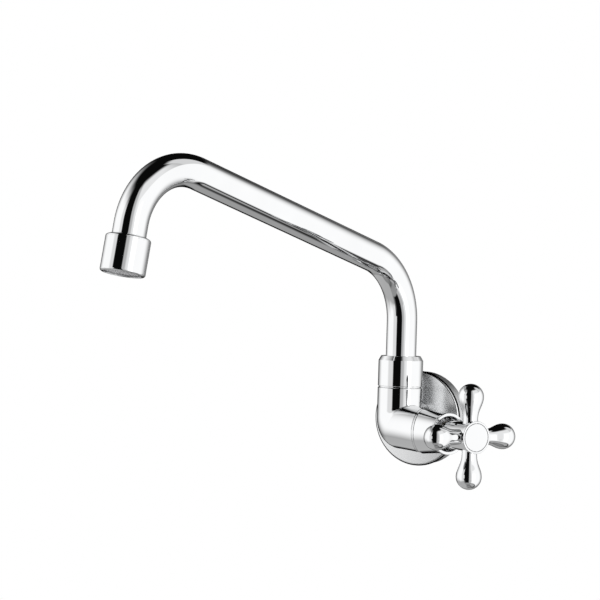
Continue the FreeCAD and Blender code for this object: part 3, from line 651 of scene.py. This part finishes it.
def tube_surface():
    """Circles square to the centre line: outside from foot to end, then inside back to the foot."""
    line = np.concatenate([line_points, line_points[::-1]])
    heading = np.concatenate([line_headings, line_headings[::-1]])
    outside = np.arange(len(line)) < len(line_points)
    radius = np.where(outside, TUBE_R, TUBE_R - TUBE_WALL)
    side = np.where(outside, 1.0, -1.0)
    t = around(160)[:, None]
    zeros = np.zeros(len(line))
    across = np.stack([np.cos(heading), zeros, -np.sin(heading)], -1)[:, None]
    outward = across * np.cos(t) + np.array([0, 1.0, 0]) * np.sin(t)
    middle = np.stack([line[:, 0], zeros, line[:, 1]], -1)[:, None]
    grid = middle + outward * radius[:, None, None]
    normals = (outward * side[:, None, None]) @ SPOUT[1]
    return add_surface("spout_pipe", placed(grid, SPOUT), normals, True)


finish_piece(tube_surface(), chrome, "spout", "chrome", "spout_tube")


# Outlet: a turned collar brazed on the tube's end, with the aerator's housing screwed up to it.
# Both are chromed brass. They meet in a hair line, and the housing's lower edge is well rounded.

OUTLET_R = 11.95
# Names ending in _FROM, _TO and _DOWN are distances down the outlet's axis from here on.
HOUSING_FROM = 2.0
HOUSING_TO = 20.2
LIP_FROM = 19.1
HALF_HAIR_LINE = 0.01

outlet_top = line_points[-1] - TUBE_IN_OUTLET * np.array(
    [math.sin(BEND_2_TURN), math.cos(BEND_2_TURN)])
outlet_down = math.sin(BEND_2_TURN) * ALONG_SPOUT + math.cos(BEND_2_TURN) * UP
outlet_side = math.cos(BEND_2_TURN) * ALONG_SPOUT - math.sin(BEND_2_TURN) * UP
OUTLET = (SPOUT[0] + outlet_top[0] * ALONG_SPOUT + outlet_top[1] * UP,
          np.array([outlet_side, np.cross(outlet_down, outlet_side), outlet_down]))

outlet_ring = turned_piece("outlet_shoulder", [
    (9.04, 0, 0.1), (9.6, 0, 0.2), (OUTLET_R, 1.0, 1.2),
    (OUTLET_R, HOUSING_FROM - HALF_HAIR_LINE, 0.01), (10.96, HOUSING_FROM, 0.05),
    (10.96, 10.0, 0.2), (7.8, 10.0, 0.2), (7.8, TUBE_IN_OUTLET, 0.2), (9.04, TUBE_IN_OUTLET, 0.2),
], OUTLET)
finish_piece(outlet_ring, chrome, "spout", "chrome", "outlet_collar")
housing = turned_piece("aerator_housing", [
    (11.0, HOUSING_FROM + HALF_HAIR_LINE, 0.05), (OUTLET_R, HOUSING_FROM + HALF_HAIR_LINE, 0.01),
    (OUTLET_R, HOUSING_TO, 1.3), (10.1, HOUSING_TO, 0.3), (10.1, LIP_FROM, 0.15),
    (11.0, LIP_FROM, 0.1),
], OUTLET)
finish_piece(housing, chrome, "spout", "chrome", "aerator_shell")


# Aerator: a rubber gasket and a white plastic cage with jet holes lie in the housing, and fine
# stainless wire cloth is clamped behind the housing's lip over the cage.

SCREEN_DOWN = 18.95
SCREEN_R = 10.85
WIRE_GAP = 0.55
WIRE_R = 0.085
WEAVE = 0.065
WIRE_SIDES = 5

finish_nodes(rubber, "aerator_gasket")
finish_nodes(white_plastic, "aerator_cage")


def woven_screen():
    """Wires in two square sets, each a tube of small rings along a chord of the screen's circle.

    A wire's middle stands WEAVE sin(pi (v / gap + 1/2 + k)) from the screen's plane at v along it,
    with k the wire's number, so that each wire goes over one and under the next.
    """
    count = int(SCREEN_R / WIRE_GAP)
    k = np.arange(-count, count + 1)
    u = k * WIRE_GAP
    reach = np.sqrt(SCREEN_R**2 - u**2)
    s = np.linspace(-1, 1, 4 * count + 1)
    v = np.clip(s * SCREEN_R, -reach[:, None], reach[:, None])
    a = around(WIRE_SIDES)
    lift = WEAVE * np.sin(math.pi * (v / WIRE_GAP + 0.5 + k[:, None]))
    vertices = []
    for over, flip in ((1, False), (-1, True)):
        p = np.broadcast_to(u[:, None, None] + WIRE_R * np.cos(a), v.shape + (WIRE_SIDES,))
        q = np.broadcast_to(v[..., None], p.shape)
        w = SCREEN_DOWN + over * lift[..., None] + WIRE_R * np.sin(a)
        vertices.append(np.stack([q, p, w] if flip else [p, q, w], -1))
    points = np.concatenate(vertices)
    ids = np.arange(points[..., 0].size).reshape(points.shape[:3])
    after = np.roll(ids, -1, axis=2)
    quads = np.stack([ids[:, :-1], ids[:, 1:], after[:, 1:], after[:, :-1]], -1)
    half = len(ids) // 2
    quads = np.concatenate([quads[:half], quads[half:, ..., ::-1]]).reshape(-1, 4)
    caps = np.concatenate([ids[:half, 0], ids[:half, -1, ::-1],
                           ids[half:, 0, ::-1], ids[half:, -1]])
    mesh = bpy.data.meshes.new("woven_screen")
    mesh.from_pydata(
        placed(points.reshape(-1, 3), OUTLET).tolist(), [], quads.tolist() + caps.tolist())
    mesh.shade_smooth()
    return add_object("woven_screen", mesh)


finish_piece(woven_screen(), steel, "spout", "mesh_steel", "aerator_mesh")


# Cross handle: a turned hub with four teardrop arms pushed and soldered into it, all chromed brass.
# A steel screw holds it on the spindle's square, and a bare cap covers the screw.

ARM_AT = 73.0
HUB_FACE_AT = 79.6
CAP_SEAT_AT = 77.8
CAP_R = 7.85
CAP_HOLE_R = 8.02
ARM_TIP = 29.9
BULB_R = 7.3
BULB_PULL = 4.7
NECK_PULL = 6.0
NECK_R = 4.3
NECK_END = 9.8
SHOULDER = 7.4
STUB_R = 2.4
STUB_END = 5.4

hub = turned_piece("hub_drum", [
    (0, 57.0, 0), (6.7, 57.0, 0.2), (6.7, 51.2, 0.3), (7.9, 51.2, 0.5), (8.5, 76.6, 0.3),
    (9.2, 77.6, 0.25), (9.2, HUB_FACE_AT, 0.35), (CAP_HOLE_R, HUB_FACE_AT, 0.22),
    (CAP_HOLE_R, CAP_SEAT_AT, 0.1), (0, CAP_SEAT_AT, 0),
], HANDLE)
finish_piece(hub, chrome, "handle", "chrome", "handle_hub")
finish_nodes(steel, "handle_screw")
cap = turned_piece("index_plate", [
    (0, CAP_SEAT_AT, 0), (CAP_R, CAP_SEAT_AT, 0.1), (CAP_R, HUB_FACE_AT, 0.3), (0, HUB_FACE_AT, 0),
], HANDLE, steps=128)
finish_piece(cap, chrome, "handle", "chrome", "index_cap")


def arm_profile():
    """(radius, reach) down one arm: stub and neck, flank, then the bulb's circle to its tip.

    The flank is the cubic through four points a, b, c, d: the neck's end, NECK_PULL beyond it,
    BULB_PULL short of the bulb's widest ring, and that ring. At s it is (1-s)^3 a + 3 (1-s)^2 s b
    + 3 (1-s) s^2 c + s^3 d, and its normal is square to that curve's derivative.
    """
    middle = ARM_TIP - BULB_R
    s = np.linspace(0, 1, 33)[:, None]
    a, b = np.array([(NECK_R, NECK_END), (NECK_R, NECK_END + NECK_PULL)])
    c, d = np.array([(BULB_R, middle - BULB_PULL), (BULB_R, middle)])
    flank = (1 - s) ** 3 * a + 3 * (1 - s) ** 2 * s * b + 3 * (1 - s) * s**2 * c + s**3 * d
    slope = (1 - s) ** 2 * (b - a) + 2 * (1 - s) * s * (c - b) + s**2 * (d - c)
    slope /= np.linalg.norm(slope, axis=1)[:, None]
    angle = np.linspace(0, math.pi / 2, 40)[1:]
    bulb = np.stack([BULB_R * np.cos(angle), middle + BULB_R * np.sin(angle)], 1)
    bulb[-1, 0] = 0
    stub = np.array([[0, STUB_END], [STUB_R, STUB_END], [STUB_R, SHOULDER], [NECK_R, SHOULDER],
                     [NECK_R, SHOULDER + 0.1]])
    stub_normals = np.array([[0, -1.0], [0.7, -0.7], [0.7, -0.7], [0.7, -0.7], [1, 0]])
    normals = np.concatenate([stub_normals, np.stack([slope[:, 1], -slope[:, 0]], 1),
                              np.stack([np.cos(angle), np.sin(angle)], 1)])
    return np.concatenate([stub, flank, bulb]), normals


def arm_surface(side, turn):
    """The arm's profile spun about its own axis, which is square to the handle's."""
    profile, outward = arm_profile()
    t = around(128)
    spin = np.array([(math.cos(turn), math.sin(turn), 0), (-math.sin(turn), math.cos(turn), 0),
                     (0, 0, 1)])
    reach_first = [2, 0, 1]
    grid = spun(profile, t)[..., reach_first] @ spin + np.array([0, 0, ARM_AT])
    normals = spun(outward, t)[..., reach_first] @ spin @ HANDLE[1]
    return add_surface(f"arm_{side}", placed(grid, HANDLE), normals)


for quarter, side in enumerate(("top", "front", "bottom", "back")):
    arm = arm_surface(side, quarter * math.pi / 2)
    finish_piece(arm, chrome, "handle", "chrome", f"handle_arm_{side}")


# Studio: white all round for the camera's eye. For reflections it is a dark room with two large
# soft boxes, dimmer panels low down and behind, and the pale floor's glow.

CAMERA_TURN = math.radians(30.67)
TOWARDS = (math.sin(CAMERA_TURN), -math.cos(CAMERA_TURN), 0)
RIGHTWARDS = (math.cos(CAMERA_TURN), math.sin(CAMERA_TURN), 0)
DARK = 0.004
WHITE_ON_MATT = 0.75

# Each panel: strength, azimuth edges (left soft, left full, right full, right soft), elevation
# edges (low soft, low full, high full, high soft), all in degrees. Azimuth 0 is towards the
# camera, and grows to its right.
PANELS = (
    # the right soft box
    (1.37, (0, 35, 99, 158), (-54, -47, 30, 38)),
    (0.62, (-4, 1, 66, 122), (-52, -48, 50, 60)),
    (1.10, (-2, 22, 66, 122), (-26, -21, 52, 66)),
    (0.92, (83, 92, 120, 121), (27, 35, 63, 75)),
    # the left soft box
    (1.37, (-166, -112, -76, -48), (-50, -2, 30, 62)),
    (1.37, (-115, -95, -76, -48), (-54, -14, 30, 62)),
    (1.00, (-115, -95, -53, -48), (-43, -27, 30, 50)),
    (1.00, (-115, -95, -45, -40), (-12, -9, 9, 12)),
    # the right box's bright core
    (2.40, (20, 38, 48, 60), (-46, -30, 14, 32)),
    # the floor's glow, and what stands low down and behind
    (0.56, (-174, -164, -64, -35), (-87, -73, -30, -8)),
    (0.35, (-190, -181, 181, 190), (-110, -107, -90, -55)),
    (0.38, (-150, -130, 84, 94), (-76, -64, -50, -46)),
    (0.44, (142, 150, 190, 200), (-76, -66, -36, -27)),
    (0.44, (-200, -190, -172, -164), (-76, -66, -36, -27)),
    (0.55, (13, 27, 105, 122), (-76, -69, -58, -55)),
    (0.31, (126, 148, 160, 172), (-76, -69, 16, 34)),
)
AZIMUTH_EDGES = ("Left 0", "Left 1", "Right 0", "Right 1")
ELEVATION_EDGES = ("Low 0", "Low 1", "High 0", "High 1")


def make_soft_box():
    """Strength times smooth steps up and down in azimuth and in elevation."""
    edges = AZIMUTH_EDGES + ELEVATION_EDGES
    group, given, out = new_group(
        "soft_box", dict.fromkeys(("Azimuth", "Elevation", "Strength") + edges, 0.0))
    value = given["Strength"]
    for k in range(0, len(edges), 2):
        rising = k % 4 == 0
        step = add_node(
            group, "ShaderNodeMapRange", {"interpolation_type": "SMOOTHSTEP"},
            To_Min=0.0 if rising else 1.0, To_Max=1.0 if rising else 0.0)
        angle = "Azimuth" if edges[k] in AZIMUTH_EDGES else "Elevation"
        group.links.new(given[angle], step.inputs["Value"])
        group.links.new(given[edges[k]], step.inputs["From Min"])
        group.links.new(given[edges[k + 1]], step.inputs["From Max"])
        value = calculate(group, "MULTIPLY", value, step.outputs["Result"])
    group.links.new(value, out)
    return group


def build_surround():
    """The brightest panel in each direction, and even white for the eye and for matt paint."""
    world = bpy.data.worlds.new("studio")
    bpy.context.scene.world = world
    world.use_nodes = True
    world.cycles.sampling_method = "NONE"
    tree = world.node_tree
    direction = tree.nodes.new("ShaderNodeTexCoord").outputs["Generated"]
    parts = []
    for axis in (RIGHTWARDS, TOWARDS, UP):
        dot = add_node(tree, "ShaderNodeVectorMath", {"operation": "DOT_PRODUCT"})
        dot.inputs[1].default_value = axis
        tree.links.new(direction, dot.inputs[0])
        parts.append(dot.outputs["Value"])
    azimuth = calculate(tree, "MULTIPLY", calculate(tree, "ARCTAN2", *parts[:2]), math.degrees(1))
    elevation = calculate(tree, "MULTIPLY", calculate(tree, "ARCSINE", parts[2]), math.degrees(1))
    soft_box = make_soft_box()
    value = DARK
    for strength, azimuths, elevations in PANELS:
        panel = add_node(tree, "ShaderNodeGroup", {"node_tree": soft_box}, Strength=strength)
        tree.links.new(azimuth, panel.inputs["Azimuth"])
        tree.links.new(elevation, panel.inputs["Elevation"])
        for key, edge in zip(AZIMUTH_EDGES + ELEVATION_EDGES, azimuths + elevations):
            panel.inputs[key].default_value = edge
        value = calculate(tree, "MAXIMUM", panel.outputs["Value"], value)
    kind = tree.nodes.new("ShaderNodeLightPath")
    for flag, level in (("Is Diffuse Ray", WHITE_ON_MATT), ("Is Camera Ray", 1.0)):
        mix = add_node(tree, "ShaderNodeMix", {"data_type": "FLOAT"}, B=level)
        tree.links.new(kind.outputs[flag], mix.inputs["Factor"])
        tree.links.new(value, mix.inputs["A"])
        value = mix.outputs["Result"]
    tree.links.new(value, tree.nodes["Background"].inputs["Color"])


build_surround()


# Floor and lamps: a plain pale floor well below, and two soft lamps from the camera's sides. They
# light what is matt, and the chrome doesn't mirror them. The lamps' measures are in metres.

FLOOR_Z = -450.0
FLOOR_REACH = 1500.0
LAMP_SIZE = 0.9
LAMPS_AIM = np.array([0, -0.1, 0.05])


def make_floor():
    """Square of pale matt paint that the camera sees as white, like the surround."""
    mesh = bpy.data.meshes.new("studio_floor")
    corners = [(x * FLOOR_REACH * MM, y * FLOOR_REACH * MM, FLOOR_Z * MM)
               for x, y in ((-1, -1), (1, -1), (1, 1), (-1, 1))]
    mesh.from_pydata(corners, [], [(0, 1, 2, 3)])
    paint, tree, shader, place = start_material("floor_paint")
    grain = add_noise(tree, place, Scale=30.0)
    tint_between(tree, grain, (0.86, 0.855, 0.85), (0.88, 0.875, 0.87), shader)
    shader.inputs["Roughness"].default_value = 0.8
    shader.inputs["Emission Color"].default_value = (1, 1, 1, 1)
    kind = tree.nodes.new("ShaderNodeLightPath")
    tree.links.new(kind.outputs["Is Camera Ray"], shader.inputs["Emission Strength"])
    mesh.materials.append(paint)
    floor = add_object("studio_floor", mesh)
    floor.visible_glossy = False


def stand(right, up, back, place):
    """Matrix whose columns are three axes and a place in metres."""
    return Matrix([
        (right[k], up[k], back[k], place[k]) for k in range(3)] + [(0, 0, 0, 1)])


def soft_lamp(name, watts, place):
    """Square area lamp aimed at the middle of the tap, so that its local Z points away from it."""
    data = bpy.data.lights.new(name, "AREA")
    data.energy = watts
    data.size = LAMP_SIZE
    away = np.array(place) - LAMPS_AIM
    away /= np.linalg.norm(away)
    side = np.cross(UP, away)
    side /= np.linalg.norm(side)
    lamp = add_object(name, data)
    lamp.matrix_world = stand(side, np.cross(away, side), away, place)
    lamp.visible_glossy = False


make_floor()
soft_lamp("lamp_right", watts=9.0, place=(1.3, -1.0, 0.9))
soft_lamp("lamp_left", watts=6.0, place=(-0.9, -1.4, 0.8))


# Camera: the photograph's place in metres and its frame, fitted to the edges of the tube, the
# post, the outlet and the handle's face.

CAMERA_RIGHT = (0.85970922, 0.51002105, 0.02790331)
CAMERA_UP = (-0.02686123, -0.00940973, 0.99959488)
CAMERA_BACK = (0.51007699, -0.86011045, 0.00561017)
CAMERA_PLACE = (0.56302, -1.10189, 0.07622)

camera_data = bpy.data.cameras.new("camera")
camera_data.lens = 121.794
camera_data.sensor_width = 36.0
camera = add_object("camera", camera_data)
camera.matrix_world = stand(CAMERA_RIGHT, CAMERA_UP, CAMERA_BACK, CAMERA_PLACE)
bpy.context.scene.camera = camera
bpy.context.scene.view_settings.view_transform = "Standard"
